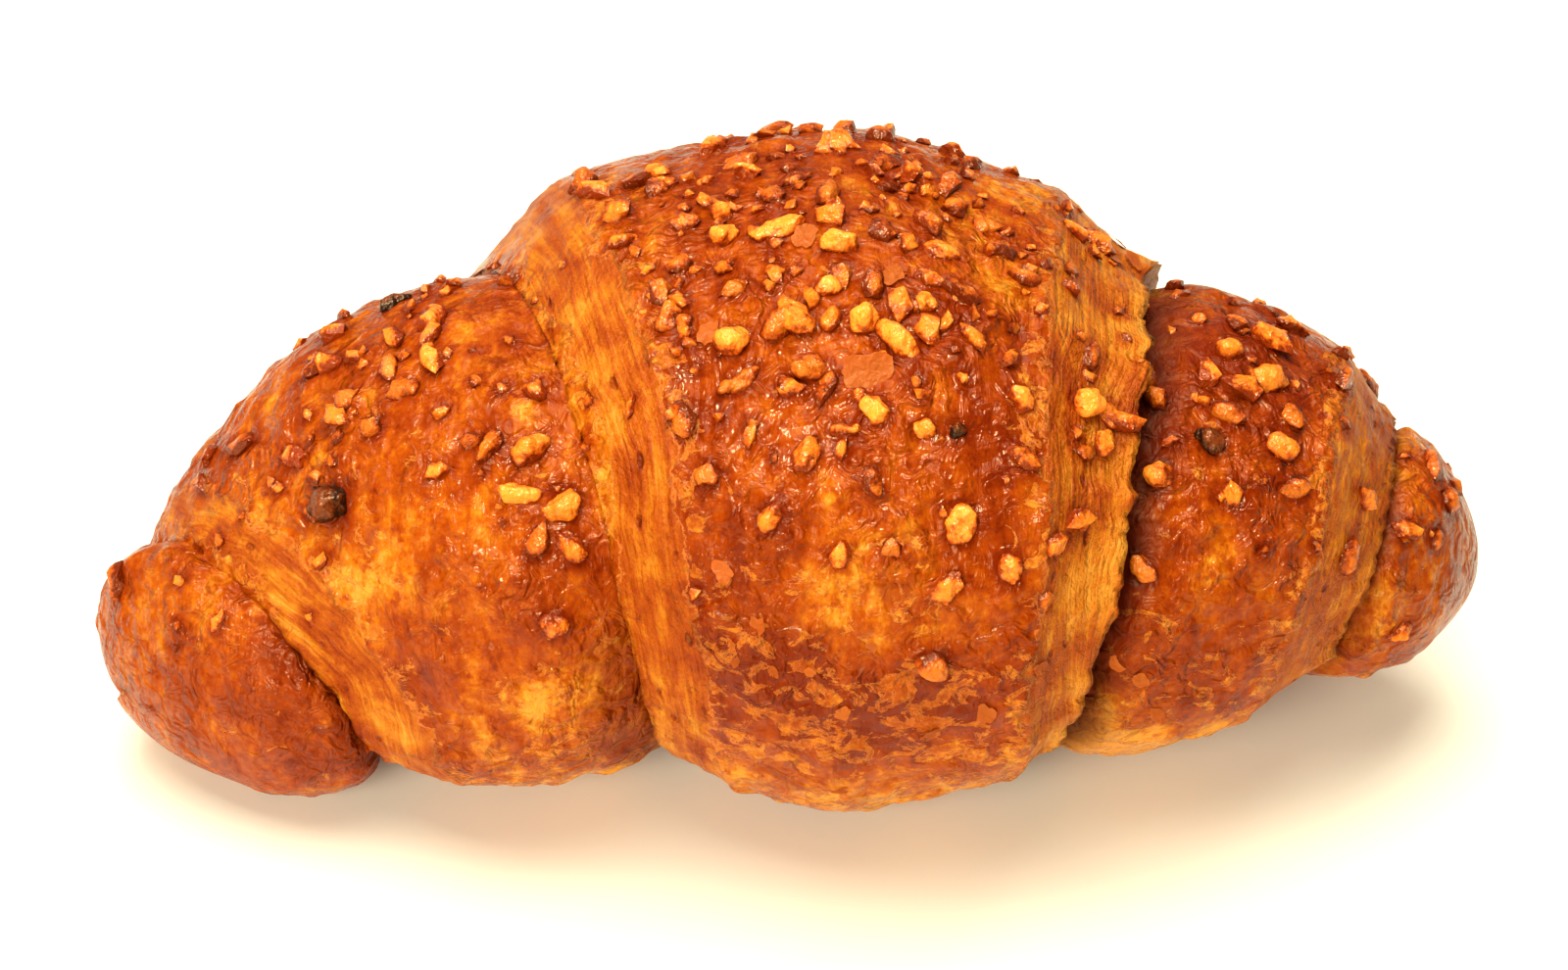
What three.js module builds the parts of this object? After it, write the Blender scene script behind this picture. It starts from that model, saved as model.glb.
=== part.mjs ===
// Nut-topped butter croissant. Millimetres, +Z up, origin on the table under the middle of its box.
// The dough is one baked body: a long triangle rolled up on itself, so its outer skin is one spiral
// ribbon. It starts at the triangle's point, tucked under at the back, comes forward underneath, goes
// up the front and over the back, and widens as it goes. The broad turn is the middle of the
// croissant; what it leaves uncovered on each side is the turn before it, and then the horn's tip.
// Chopped roasted hazelnuts lie on the glaze, each a piece of its own.
import * as THREE from "three";
import { ConvexGeometry } from "three/addons/geometries/ConvexGeometry.js";

// ---- driving dimensions
// "Along" is measured down the roll from its middle, "around" in degrees from straight below,
// through the front (-Y). Tables are [where, value] and are read as smooth curves.
const START = -44; // where the triangle's point lies, around the roll
const MIDDLE_RADIUS = 33.4; // the roll at its middle
const ROUNDNESS = 2.15; // 2 is an ellipse, more is squarer
const GAP = 0.3; // clear space under each nut

// the roll's centre line and how far each cross-section is turned about +Z
const PATH_X = [[-84, -78.3], [-64, -61.5], [-56, -54.5], [-43, -42], [-30, -30], [0, 0], [30, 29.5],
  [45, 44], [56, 54.5], [72, 68.8]];
const PATH_Y = [[-84, -17], [-64, -12.5], [-56, -10.5], [-43, -6.5], [-30, -2.5], [-15, 0], [0, 0],
  [25, -3.5], [45, -3.5], [56, -3], [72, -1.5]];
const PATH_Z = [[-84, 12.5], [-64, 17], [-56, 20.5], [-43, 24.5], [-30, 27.5], [-15, 30], [0, 31],
  [22, 28.8], [30, 27.5], [45, 26], [56, 24], [72, 20]];
const TURN = [[-84, 42], [-64, 37], [-56, 30], [-43, 20], [-30, 10], [-15, 3], [0, 0], [30, -2],
  [45, -2], [72, 0]];
const DEPTH_TO_HEIGHT = [[-84, 1.06], [-60, 1.12], [-40, 1.16], [0, 1.2], [40, 1.15], [56, 1.1],
  [72, 1.05]];

// The ribbon's two sides. edge: where its glazed skin turns over, along the roll; foot: where its cut
// side meets the turn below; edgeRadius and footRadius: how far both stand from the centre line;
// swell: how far the skin bulges between them; blunt: how round the horn's nose is. Each table ends at
// the tip of its horn.
const LEFT = {
  sign: -1,
  blunt: 2.2,
  edge: [[-44, 0], [0, 9], [50, 13], [120, 18], [190, 25.5], [230, 28], [280, 33], [360, 42],
    [395, 47], [450, 58], [495, 64], [540, 66], [580, 66.5], [620, 69], [676, 82]],
  foot: [[-44, 0], [0, 12], [50, 20], [120, 28], [190, 33.5], [230, 36.5], [280, 42], [360, 50],
    [395, 54], [450, 64], [495, 69], [540, 70], [580, 70.5], [620, 72.5], [676, 82]],
  edgeRadius: [[-44, 33.4], [0, 31.5], [50, 30.5], [100, 31.3], [190, 31.5], [230, 31.5], [300, 27],
    [395, 22], [450, 21.5], [495, 19.5], [540, 17.5], [580, 17], [620, 14], [676, 0]],
  footRadius: [[-44, 33.4], [0, 29], [50, 26], [190, 25.5], [300, 22], [395, 16], [450, 16],
    [495, 14.5], [540, 13], [580, 12.5], [620, 10], [676, 0]],
  swell: [[-44, 0.6], [316, 0.6], [410, 2], [480, 3.5], [550, 4], [620, 4], [676, 4]],
};
const RIGHT = {
  sign: 1,
  blunt: 1.7,
  edge: [[-44, 0], [0, 13], [50, 19], [120, 20], [190, 22], [230, 23.5], [280, 27], [360, 36],
    [395, 42], [450, 47], [495, 50.5], [540, 54], [580, 56], [620, 60], [676, 72]],
  foot: [[-44, 0], [0, 15], [50, 20.5], [120, 26], [160, 28.5], [190, 30.5], [230, 33.5], [280, 36],
    [360, 43], [395, 48.5], [450, 54], [495, 57.5], [540, 60], [580, 61.5], [620, 64], [676, 72]],
  edgeRadius: [[-44, 33.4], [0, 29], [50, 27.8], [100, 30.5], [190, 31], [230, 30.5], [300, 26.5],
    [395, 20.5], [450, 20.3], [540, 20], [580, 18.5], [620, 13], [676, 0]],
  footRadius: [[-44, 33.4], [0, 27], [50, 24], [190, 23.5], [300, 21.5], [395, 14.5], [450, 13.5],
    [540, 12.5], [580, 11.5], [620, 9], [676, 0]],
  swell: [[-44, 0.6], [316, 0.6], [410, 1.5], [480, 1.5], [550, 1.5], [620, 2], [676, 3]],
};

// how finely the dough is faceted
const STEPS_PER_TURN = 48;
const SKIN_STEPS = 7;
const SIDE_STEPS = 3;

// ---- curves
function through(knots, x) {
  const last = knots.length - 1;
  const at = Math.min(Math.max(x, knots[0][0]), knots[last][0]);
  const slope = (i) => (knots[i + 1][1] - knots[i][1]) / (knots[i + 1][0] - knots[i][0]);
  const tangent = (i) => {
    if (i === 0) return slope(0);
    if (i === last) return slope(last - 1);
    const before = slope(i - 1);
    const after = slope(i);
    if (before * after <= 0) return 0;
    const a = knots[i][0] - knots[i - 1][0];
    const b = knots[i + 1][0] - knots[i][0];
    return (3 * (a + b)) / ((2 * b + a) / before + (b + 2 * a) / after);
  };
  let i = 0;
  while (i < last - 1 && at > knots[i + 1][0]) i += 1;
  const h = knots[i + 1][0] - knots[i][0];
  const t = (at - knots[i][0]) / h;
  const hermite = (1 + 2 * t) * (1 - t) ** 2 * knots[i][1] + t * t * (3 - 2 * t) * knots[i + 1][1];
  return hermite + h * (t * (1 - t) ** 2 * tangent(i) + t * t * (t - 1) * tangent(i + 1));
}

const mix = THREE.MathUtils.lerp;

// ---- the dough
// A point beside the centre line: along the roll, around it, at a radius; nothing goes below the table.
function beside(along, around, radius) {
  const turn = THREE.MathUtils.degToRad(through(TURN, along));
  const angle = THREE.MathUtils.degToRad(around);
  const squared = (c) => Math.sign(c) * Math.abs(c) ** (2 / ROUNDNESS);
  const out = -squared(Math.sin(angle)) * radius * through(DEPTH_TO_HEIGHT, along);
  const up = -squared(Math.cos(angle)) * radius;
  return new THREE.Vector3(
    through(PATH_X, along) - Math.sin(turn) * out,
    through(PATH_Y, along) + Math.cos(turn) * out,
    Math.max(through(PATH_Z, along) + up, 0),
  );
}

// Across the ribbon at one angle: 0 to 1 is the glazed skin, 1 to 2 the cut side down to the foot.
function onRibbon(side, around, across) {
  const first = around < START + 360 - 1e-6;
  const from = first ? 0 : through(side.foot, around - 360);
  const fromRadius = first ? MIDDLE_RADIUS : through(side.footRadius, around - 360);
  const edge = through(side.edge, around);
  const foot = through(side.foot, around);
  const edgeRadius = through(side.edgeRadius, around);
  const footRadius = through(side.footRadius, around);
  const skin = Math.min(across, 1);
  const cut = Math.max(across - 1, 0);
  const swell = 3.6 * through(side.swell, around) * skin * (1 - skin);
  let along = mix(mix(from, edge, skin), foot, cut);
  let radius = mix(mix(fromRadius, edgeRadius, skin) + swell, footRadius, cut ** 1.15);
  // over the last part of the spiral the ribbon closes into the blunt nose of the horn
  const nose = THREE.MathUtils.smoothstep(around, START + 610, START + 720);
  const reach = (skin * SKIN_STEPS + cut * SIDE_STEPS) / (SKIN_STEPS + SIDE_STEPS);
  const taper = Math.sqrt(1 - reach ** side.blunt) * (1 + 0.1 * Math.sin(Math.PI * reach));
  along = mix(along, mix(from, foot, reach), nose);
  radius = mix(radius, mix(footRadius, fromRadius, taper), nose);
  return beside(side.sign * along, around, radius);
}

function doughGeometry() {
  const steps = [];
  for (let k = 0; k <= SKIN_STEPS; k += 1) steps.push(k / SKIN_STEPS);
  for (let k = 1; k <= SIDE_STEPS; k += 1) steps.push(1 + k / SIDE_STEPS);
  const last = steps.length - 1;
  const places = [];
  const faces = [];
  const numbers = new Map();
  // a turn's inner edge is the foot of the turn before it, so both share their corners
  const corner = (side, row, k) => {
    if (row >= STEPS_PER_TURN && k === 0) return corner(side, row - STEPS_PER_TURN, last);
    let name = `${side.sign} ${row} ${k}`;
    if (k === 0) name = `middle ${row}`;
    if (row === 0) name = "start";
    if (row === 3 * STEPS_PER_TURN || (row >= 2 * STEPS_PER_TURN && k === last)) name = `tip ${side.sign}`;
    if (!numbers.has(name)) {
      numbers.set(name, places.length / 3);
      const p = onRibbon(side, START + (360 * row) / STEPS_PER_TURN, steps[k]);
      places.push(p.x, p.y, p.z);
    }
    return numbers.get(name);
  };
  const face = (a, b, c) => {
    if (a !== b && b !== c && c !== a) faces.push(a, b, c);
  };
  for (const side of [LEFT, RIGHT]) {
    for (let row = 0; row < 3 * STEPS_PER_TURN; row += 1) {
      for (let k = 1; k <= last; k += 1) {
        const a = corner(side, row, k - 1);
        const b = corner(side, row, k);
        const c = corner(side, row + 1, k);
        const d = corner(side, row + 1, k - 1);
        if (side.sign < 0) {
          face(a, c, b);
          face(a, d, c);
        } else {
          face(a, b, c);
          face(a, c, d);
        }
      }
    }
  }
  const geometry = new THREE.BufferGeometry();
  geometry.setAttribute("position", new THREE.Float32BufferAttribute(places, 3));
  geometry.setIndex(faces);
  geometry.computeVertexNormals();
  return geometry;
}

// ---- the nuts
const ROASTS = {
  pale: new THREE.MeshStandardMaterial({ color: "#f2a53c", roughness: 0.45, metalness: 0 }),
  golden: new THREE.MeshStandardMaterial({ color: "#e08a28", roughness: 0.45, metalness: 0 }),
  brown: new THREE.MeshStandardMaterial({ color: "#a9521a", roughness: 0.45, metalness: 0 }),
  burnt: new THREE.MeshStandardMaterial({ color: "#3a1508", roughness: 0.6, metalness: 0 }),
};

// One chopped piece, a unit long and wide and a unit high, standing on its widest cut.
function chipGeometry(seed) {
  let state = seed * 7919 + 17;
  const chance = () => {
    state = (state * 16807) % 2147483647;
    return state / 2147483647;
  };
  chance();
  const points = [];
  const ring = (count, radius, height, wobble, shift) => {
    const start = chance() * Math.PI;
    const aside = shift * (chance() - 0.5);
    for (let k = 0; k < count; k += 1) {
      const angle = start + (2 * Math.PI * (k + 0.5 * chance())) / count;
      const reach = radius * (1 - wobble * chance());
      const lift = height === 0 ? 0 : height * (1 - 0.22 * chance());
      points.push(new THREE.Vector3(Math.cos(angle) * reach + aside, Math.sin(angle) * reach, lift));
    }
  };
  ring(6, 0.46, 0, 0.2, 0);
  ring(6, 0.58, 0.45, 0.3, 0.1);
  ring(4, 0.3, 1, 0.5, 0.45);
  const geometry = new ConvexGeometry(points);
  geometry.computeVertexNormals();
  return geometry;
}

// where the ribbon's outward face points, from two short steps along it
function outward(side, around, across) {
  const here = onRibbon(side, around, across);
  const onwards = onRibbon(side, around + 2, across).sub(here);
  const sideways = onRibbon(side, around, across + 0.03).sub(here).multiplyScalar(side.sign);
  return sideways.cross(onwards).normalize();
}

// [side, around, across the ribbon, length, width, height, turned, roast]
const NUTS = [
  // over the top and down the front of the broad middle turn
  [LEFT, 200, 0.97, 4.2, 2.8, 2, 20, "brown"],
  [RIGHT, 202, 0.16, 3.6, 2.4, 1.8, 0, "brown"],
  [LEFT, 188, 0.39, 3.4, 2.6, 2, -15, "pale"],
  [LEFT, 178, 0.93, 3.6, 2.6, 2, 25, "golden"],
  [LEFT, 174, 0.53, 3.2, 3, 2.2, 60, "pale"],
  [LEFT, 173, 0.3, 5.4, 2.8, 2.2, 15, "pale"],
  [LEFT, 168.5, 0.05, 4.2, 3, 2.2, -10, "pale"],
  [RIGHT, 171, 0.46, 4, 2.2, 1.8, -20, "golden"],
  [RIGHT, 164, 0.4, 4, 2, 1.8, -10, "golden"],
  [LEFT, 162, 0.53, 4.4, 1.8, 1.6, 30, "brown"],
  [LEFT, 160.5, 0.08, 3.4, 2.2, 1.8, 5, "pale"],
  [RIGHT, 159, 0.38, 3.2, 2.4, 1.8, 65, "golden"],
  [LEFT, 159, 0.86, 3.2, 2.8, 1.8, 50, "brown"],
  [LEFT, 154.5, 0.25, 5.4, 3, 2.2, -55, "golden"],
  [LEFT, 154, 0.09, 4, 2.2, 1.6, 70, "golden"],
  [RIGHT, 154.5, 0.07, 4.2, 2.6, 2, 65, "pale"],
  [RIGHT, 150.5, 0.25, 5.6, 2.6, 2, -50, "pale"],
  [LEFT, 151.5, 0.57, 3.8, 3, 2.2, 10, "pale"],
  [LEFT, 144.5, 0.57, 5, 2, 1.8, 35, "brown"],
  [LEFT, 145.5, 0.2, 3.6, 2.6, 1.6, 10, "brown"],
  [RIGHT, 139, 0.12, 3.6, 2.4, 1.8, -55, "pale"],
  [LEFT, 135, 0.02, 4, 1.8, 1.6, 10, "golden"],
  [RIGHT, 136, 0.37, 3, 2, 1.6, -15, "golden"],
  [RIGHT, 137.5, 0.54, 2.4, 2.2, 1.8, 40, "burnt"],
  [RIGHT, 145.5, 0.86, 3, 2.6, 1.8, -40, "pale"],
  [LEFT, 131, 0.23, 3.6, 2.6, 1.8, 80, "golden"],
  [LEFT, 121, 0.48, 4, 2.6, 1.8, 60, "golden"],
  [RIGHT, 121.5, 0.6, 4, 3.4, 2, 70, "pale"],
  [RIGHT, 115.5, 0.84, 3.2, 2.6, 1.8, -60, "pale"],
  [RIGHT, 96, 0.45, 3.8, 2.6, 1.6, -50, "brown"],
  // caught on its cut right-hand side
  [RIGHT, 150.5, 1.5, 4.2, 3, 2.2, 10, "pale"],
  [RIGHT, 142, 1.72, 3.8, 3, 2.2, -50, "golden"],
  // on the left-hand turn
  [LEFT, 563, 0.3, 4, 2.2, 1.8, 20, "burnt"],
  [LEFT, 554, 0.56, 3.8, 2.8, 2.2, -10, "pale"],
  [LEFT, 547, 0.28, 3.8, 3.2, 2.2, 80, "pale"],
  [LEFT, 538, 0.8, 3.6, 2.8, 1.8, -30, "pale"],
  [LEFT, 533, 0.47, 3.8, 2.8, 2, -25, "brown"],
  [LEFT, 520, 0.82, 5, 4.6, 3, 30, "burnt"],
  [LEFT, 518, 0.11, 3, 2.6, 2, -40, "golden"],
  [LEFT, 510, 0.34, 4.4, 2.6, 2, 60, "brown"],
  [LEFT, 505, 0.19, 4.2, 3.2, 2.2, 30, "golden"],
  [LEFT, 498, 0.31, 4.8, 2.4, 2, -10, "pale"],
  [LEFT, 491, 0.14, 4, 3.2, 2.2, 15, "golden"],
  [LEFT, 482, 0.16, 3.4, 2.4, 1.8, -40, "golden"],
  [LEFT, 468, 0.34, 3, 2.4, 1.6, -20, "golden"],
  // on the right-hand turn and its horn
  [RIGHT, 534, 0.45, 3.4, 2.6, 2, 20, "golden"],
  [RIGHT, 527, 0.66, 4.4, 3.2, 2.2, 40, "golden"],
  [RIGHT, 507, 0.42, 4, 2.6, 1.8, -30, "burnt"],
  [RIGHT, 498, 0.2, 3.6, 2.8, 1.8, 25, "golden"],
  [RIGHT, 509, 0.75, 3.6, 3, 1.8, -20, "golden"],
  [RIGHT, 476, 0.2, 3.6, 2.4, 1.6, -60, "brown"],
  [RIGHT, 584, 1.4, 3.4, 3, 2, 30, "brown"],
  [RIGHT, 802, 0.55, 3.6, 2.4, 1.8, 10, "golden"],
];

const croissant = new THREE.Group();

const dough = new THREE.Mesh(
  doughGeometry(),
  new THREE.MeshStandardMaterial({ color: "#c9651f", roughness: 0.35, metalness: 0 }),
);
dough.name = "croissant";
croissant.add(dough);

NUTS.forEach(([side, around, across, length, width, height, turned, roast], index) => {
  const nut = new THREE.Mesh(chipGeometry(index + 1), ROASTS[roast]);
  nut.name = `nut_${roast}_${String(index + 1).padStart(2, "0")}`;
  const normal = outward(side, around, across);
  // the widest cut lies on the skin; over a curved skin its corners need a little more room
  const clear = GAP + (length * length) / 200;
  nut.position.copy(onRibbon(side, around, across)).addScaledVector(normal, clear);
  // its length runs level before it is turned in the plane of the skin
  const level = new THREE.Vector3(1, 0, 0).projectOnPlane(normal).normalize();
  const upward = new THREE.Vector3().crossVectors(normal, level);
  nut.quaternion.setFromRotationMatrix(new THREE.Matrix4().makeBasis(level, upward, normal));
  nut.rotateZ(THREE.MathUtils.degToRad(turned));
  nut.scale.set(length, width, height);
  croissant.add(nut);
});

// stand the whole on the table with the origin under the middle of its box
const box = new THREE.Box3().setFromObject(croissant, true);
const middle = box.getCenter(new THREE.Vector3());
for (const piece of croissant.children) {
  piece.position.x -= middle.x;
  piece.position.y -= middle.y;
  piece.position.z -= box.min.z;
}

export default croissant;
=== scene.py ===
import math

import bmesh
import bpy
import numpy as np
from mathutils import Matrix, Vector, noise
from mathutils.bvhtree import BVHTree
from mathutils.kdtree import KDTree


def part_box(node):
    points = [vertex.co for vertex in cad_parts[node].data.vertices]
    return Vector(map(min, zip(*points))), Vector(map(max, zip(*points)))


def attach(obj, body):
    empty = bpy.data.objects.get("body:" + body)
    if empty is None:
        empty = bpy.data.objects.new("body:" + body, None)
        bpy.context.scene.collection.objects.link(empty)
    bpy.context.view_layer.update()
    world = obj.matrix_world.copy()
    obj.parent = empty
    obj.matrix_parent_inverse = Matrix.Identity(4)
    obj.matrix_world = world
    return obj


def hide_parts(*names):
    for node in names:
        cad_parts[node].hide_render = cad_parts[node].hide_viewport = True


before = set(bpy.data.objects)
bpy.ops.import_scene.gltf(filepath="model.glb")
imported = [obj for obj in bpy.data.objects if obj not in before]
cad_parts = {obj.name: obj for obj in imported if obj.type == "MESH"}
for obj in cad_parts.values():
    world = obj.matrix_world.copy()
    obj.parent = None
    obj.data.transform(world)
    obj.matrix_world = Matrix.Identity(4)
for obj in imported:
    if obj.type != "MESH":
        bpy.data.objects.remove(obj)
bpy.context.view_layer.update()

MM = 0.001

# ---- the roll's driving sizes, as the solid has them: millimetres along, degrees around
START = -44
MIDDLE_RADIUS = 33.4
# turns degrees around the roll into millimetres on the ribbon
RIBBON_RADIUS = 28
ROUNDNESS = 2.15
PATH_X = [(-84, -78.3), (-64, -61.5), (-56, -54.5), (-43, -42), (-30, -30), (0, 0), (30, 29.5),
          (45, 44), (56, 54.5), (72, 68.8)]
PATH_Y = [(-84, -17), (-64, -12.5), (-56, -10.5), (-43, -6.5), (-30, -2.5), (-15, 0), (0, 0),
          (25, -3.5), (45, -3.5), (56, -3), (72, -1.5)]
PATH_Z = [(-84, 12.5), (-64, 17), (-56, 20.5), (-43, 24.5), (-30, 27.5), (-15, 30), (0, 31),
          (22, 28.8), (30, 27.5), (45, 26), (56, 24), (72, 20)]
TURN = [(-84, 42), (-64, 37), (-56, 30), (-43, 20), (-30, 10), (-15, 3), (0, 0), (30, -2),
        (45, -2), (72, 0)]
DEPTH_TO_HEIGHT = [(-84, 1.06), (-60, 1.12), (-40, 1.16), (0, 1.2), (40, 1.15), (56, 1.1),
                   (72, 1.05)]

# each side's shade is how dark the painted shade at the bottom of its groove is, and its pale_lip
# is how much paler the middle turn's cut side gets towards its lip
LEFT = dict(
    sign=-1,
    shade=0.65,
    pale_lip=0.15,
    blunt=2.2,
    edge=[(-44, 0), (0, 9), (50, 13), (120, 18), (190, 25.5), (230, 28), (280, 33), (360, 42),
          (395, 47), (450, 58), (495, 64), (540, 66), (580, 66.5), (620, 69), (676, 82)],
    foot=[(-44, 0), (0, 12), (50, 20), (120, 28), (190, 33.5), (230, 36.5), (280, 42), (360, 50),
          (395, 54), (450, 64), (495, 69), (540, 70), (580, 70.5), (620, 72.5), (676, 82)],
    edge_radius=[(-44, 33.4), (0, 31.5), (50, 30.5), (100, 31.3), (190, 31.5), (230, 31.5),
                 (300, 27), (395, 22), (450, 21.5), (495, 19.5), (540, 17.5), (580, 17), (620, 14),
                 (676, 0)],
    foot_radius=[(-44, 33.4), (0, 29), (50, 26), (190, 25.5), (300, 22), (395, 16), (450, 16),
                 (495, 14.5), (540, 13), (580, 12.5), (620, 10), (676, 0)],
    swell=[(-44, 0.6), (316, 0.6), (410, 2), (480, 3.5), (550, 4), (620, 4), (676, 4)],
    # how far the cut side's lip stands out, and how far the groove behind it is tucked in and sunk
    lip=[(-44, 0), (20, 0.3), (80, 0.3), (120, 0.1), (316, 0.1), (400, 0.6), (500, 0.3), (640, 0)],
    tuck=[(-44, 0), (20, 1.0), (80, 0.9), (120, 0.1), (316, 0.2), (400, 1.6), (450, 1.0),
          (500, 0.4), (560, 0.3), (640, 0)],
    dip=[(-44, 0), (20, 2.2), (80, 1.5), (120, 0.1), (316, 0.3), (400, 2.6), (450, 1.4), (500, 0.4),
         (560, 0.2), (640, 0)],
)
RIGHT = dict(
    sign=1,
    shade=1.0,
    pale_lip=0.50,
    blunt=1.7,
    edge=[(-44, 0), (0, 13), (50, 19), (120, 20), (190, 22), (230, 23.5), (280, 27), (360, 36),
          (395, 42), (450, 47), (495, 50.5), (540, 54), (580, 56), (620, 60), (676, 72)],
    foot=[(-44, 0), (0, 15), (50, 20.5), (120, 26), (160, 28.5), (190, 30.5), (230, 33.5),
          (280, 36), (360, 43), (395, 48.5), (450, 54), (495, 57.5), (540, 60), (580, 61.5),
          (620, 64), (676, 72)],
    edge_radius=[(-44, 33.4), (0, 29), (50, 27.8), (100, 30.5), (190, 31), (230, 30.5), (300, 26.5),
                 (395, 20.5), (450, 20.3), (540, 20), (580, 18.5), (620, 13), (676, 0)],
    foot_radius=[(-44, 33.4), (0, 27), (50, 24), (190, 23.5), (300, 21.5), (395, 14.5), (450, 13.5),
                 (540, 12.5), (580, 11.5), (620, 9), (676, 0)],
    swell=[(-44, 0.6), (316, 0.6), (410, 1.5), (480, 1.5), (550, 1.5), (620, 2), (676, 3)],
    lip=[(-44, 0), (20, 0.6), (70, 1.6), (110, 2.8), (160, 2.8), (210, 1.8), (260, 0.8), (316, 0.4),
         (380, 0.5), (450, 1.0), (560, 0.9), (640, 0)],
    tuck=[(-44, 0), (20, 1.4), (70, 2.8), (110, 3.6), (160, 3.2), (210, 2.0), (260, 0.6),
          (316, 0.4), (380, 0.8), (450, 1.2), (560, 1.0), (640, 0)],
    dip=[(-44, 0), (20, 2.4), (70, 4.4), (110, 6.0), (160, 5.0), (205, 1.6), (260, 0.8), (316, 0.4),
         (380, 0.8), (450, 1.4), (560, 1.0), (640, 0)],
)
SIDES = (LEFT, RIGHT)

# how finely the dough is made: steps round one turn, and columns across skin, cut side and groove
TURN_STEPS = 300
SKIN_COLUMNS = 36
CUT_COLUMNS = 14
GROOVE_COLUMNS = 4
COLUMNS = SKIN_COLUMNS + CUT_COLUMNS + GROOVE_COLUMNS
ROWS = 3 * TURN_STEPS


# ---- curves and grain
def through(knots, x):
    """A smooth curve through (where, value) knots that never overshoots them."""
    kx = np.array([k[0] for k in knots], float)
    ky = np.array([k[1] for k in knots], float)
    x = np.clip(np.asarray(x, float), kx[0], kx[-1])
    h = np.diff(kx)
    d = np.diff(ky) / h
    m = np.concatenate([[d[0]], np.zeros(len(d) - 1), [d[-1]]])
    for i in range(1, len(d)):
        if d[i - 1] * d[i] > 0:
            a, b = h[i - 1], h[i]
            m[i] = 3 * (a + b) / ((2 * b + a) / d[i - 1] + (b + 2 * a) / d[i])
    i = np.clip(np.searchsorted(kx, x, side="right") - 1, 0, len(kx) - 2)
    t = (x - kx[i]) / h[i]
    level = (1 + 2 * t) * (1 - t) ** 2 * ky[i] + t * t * (3 - 2 * t) * ky[i + 1]
    return level + h[i] * (t * (1 - t) ** 2 * m[i] + t * t * (t - 1) * m[i + 1])


def mix(a, b, t):
    return a + (b - a) * t


def smooth(low, high, x):
    t = np.clip((x - low) / (high - low), 0, 1)
    return t * t * (3 - 2 * t)


def grain(points, size, seed=0):
    """Smooth noise from -1 to 1 at each point, with lumps about one size across."""
    shift = Vector((seed * 17.31, seed * 5.77, seed * 9.13))
    flat = np.asarray(points, float).reshape(-1, 3) / size
    values = [noise.noise(Vector(p) + shift) for p in flat.tolist()]
    return np.array(values).reshape(np.shape(points)[:-1])


# ---- the dough's surface
def beside(along, around, radius):
    """Points beside the roll's centre line, in the solid's millimetres, none below the table."""
    turn = np.radians(through(TURN, along))
    angle = np.radians(around)

    def squared(c):
        return np.sign(c) * np.abs(c) ** (2 / ROUNDNESS)

    out = -squared(np.sin(angle)) * radius * through(DEPTH_TO_HEIGHT, along)
    up = -squared(np.cos(angle)) * radius
    x = through(PATH_X, along) - np.sin(turn) * out
    y = through(PATH_Y, along) + np.cos(turn) * out
    z = np.maximum(through(PATH_Z, along) + up, 0)
    return np.stack([x, y, z], -1)


def on_ribbon(side, around, across, fine=True):
    """Across the ribbon, 0 to 1 is the glazed skin, 1 to 2 the cut side and 2 to 3 the groove."""
    around, across = np.broadcast_arrays(np.asarray(around, float), np.asarray(across, float))
    before = around - 360
    first = around < START + 360 - 1e-6
    from_along = np.where(first, 0, through(side["foot"], before))
    from_radius = np.where(first, MIDDLE_RADIUS, through(side["foot_radius"], before))
    edge, foot = through(side["edge"], around), through(side["foot"], around)
    edge_radius = through(side["edge_radius"], around)
    foot_radius = through(side["foot_radius"], around)
    skin = np.clip(across, 0, 1)
    cut = np.clip(across - 1, 0, 1)
    groove = np.clip(across - 2, 0, 1)
    swell = 3.6 * through(side["swell"], around) * skin * (1 - skin)
    along = mix(mix(from_along, edge, skin), foot, cut)
    radius = mix(mix(from_radius, edge_radius, skin) + swell, foot_radius, cut ** 1.15)
    nose = smooth(START + 610, START + 720, around)
    reach = (skin * 7 + cut * 3) / 10
    taper = np.sqrt(np.maximum(1 - reach ** side["blunt"], 0)) * (1 + 0.1 * np.sin(np.pi * reach))
    along = mix(along, mix(from_along, foot, reach), nose)
    radius = mix(radius, mix(foot_radius, from_radius, taper), nose)
    if fine:
        lip, tuck, dip = (through(side[k], around) for k in ("lip", "tuck", "dip"))
        along_edge = np.stack([around * 0.5, around * 0 + side["sign"] * 9, around * 0], -1)
        tear = 1.1 * grain(along_edge, 5.0, 3) + 0.7 * grain(along_edge, 2.1, 5)
        tear = tear + 0.3 * grain(along_edge, 0.9, 6)
        stand = lip * (0.9 + 0.42 * tear)
        along = along + stand * cut ** 2 * (1 - groove) - tuck * np.sin(groove * np.pi / 2)
        lift = 0.9 * lip * (1 + 0.4 * tear)
        radius = radius + lift * cut ** 3 * (1 - smooth(0, 0.5, groove)) - dip * groove ** 1.3
        # the next turn's skin starts at the bottom of the groove and swells up out of it
        was_tuck = np.where(first, 0, through(side["tuck"], before))
        was_dip = np.where(first, 0, through(side["dip"], before))
        rise = np.clip(1 - skin / 0.30, 0, 1)
        along = along - was_tuck * rise ** 4
        radius = radius - was_dip * rise ** 1.7
    return beside(side["sign"] * along, around, radius)


def column_places():
    skin = np.linspace(0, 1, SKIN_COLUMNS + 1)
    skin = skin - 0.09 * np.sin(2 * np.pi * skin) / (2 * np.pi) * 2
    cut = 1 + np.linspace(0, 1, CUT_COLUMNS + 1)[1:]
    groove = 2 + np.linspace(0, 1, GROOVE_COLUMNS + 1)[1:]
    return np.concatenate([skin, cut, groove])


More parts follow.
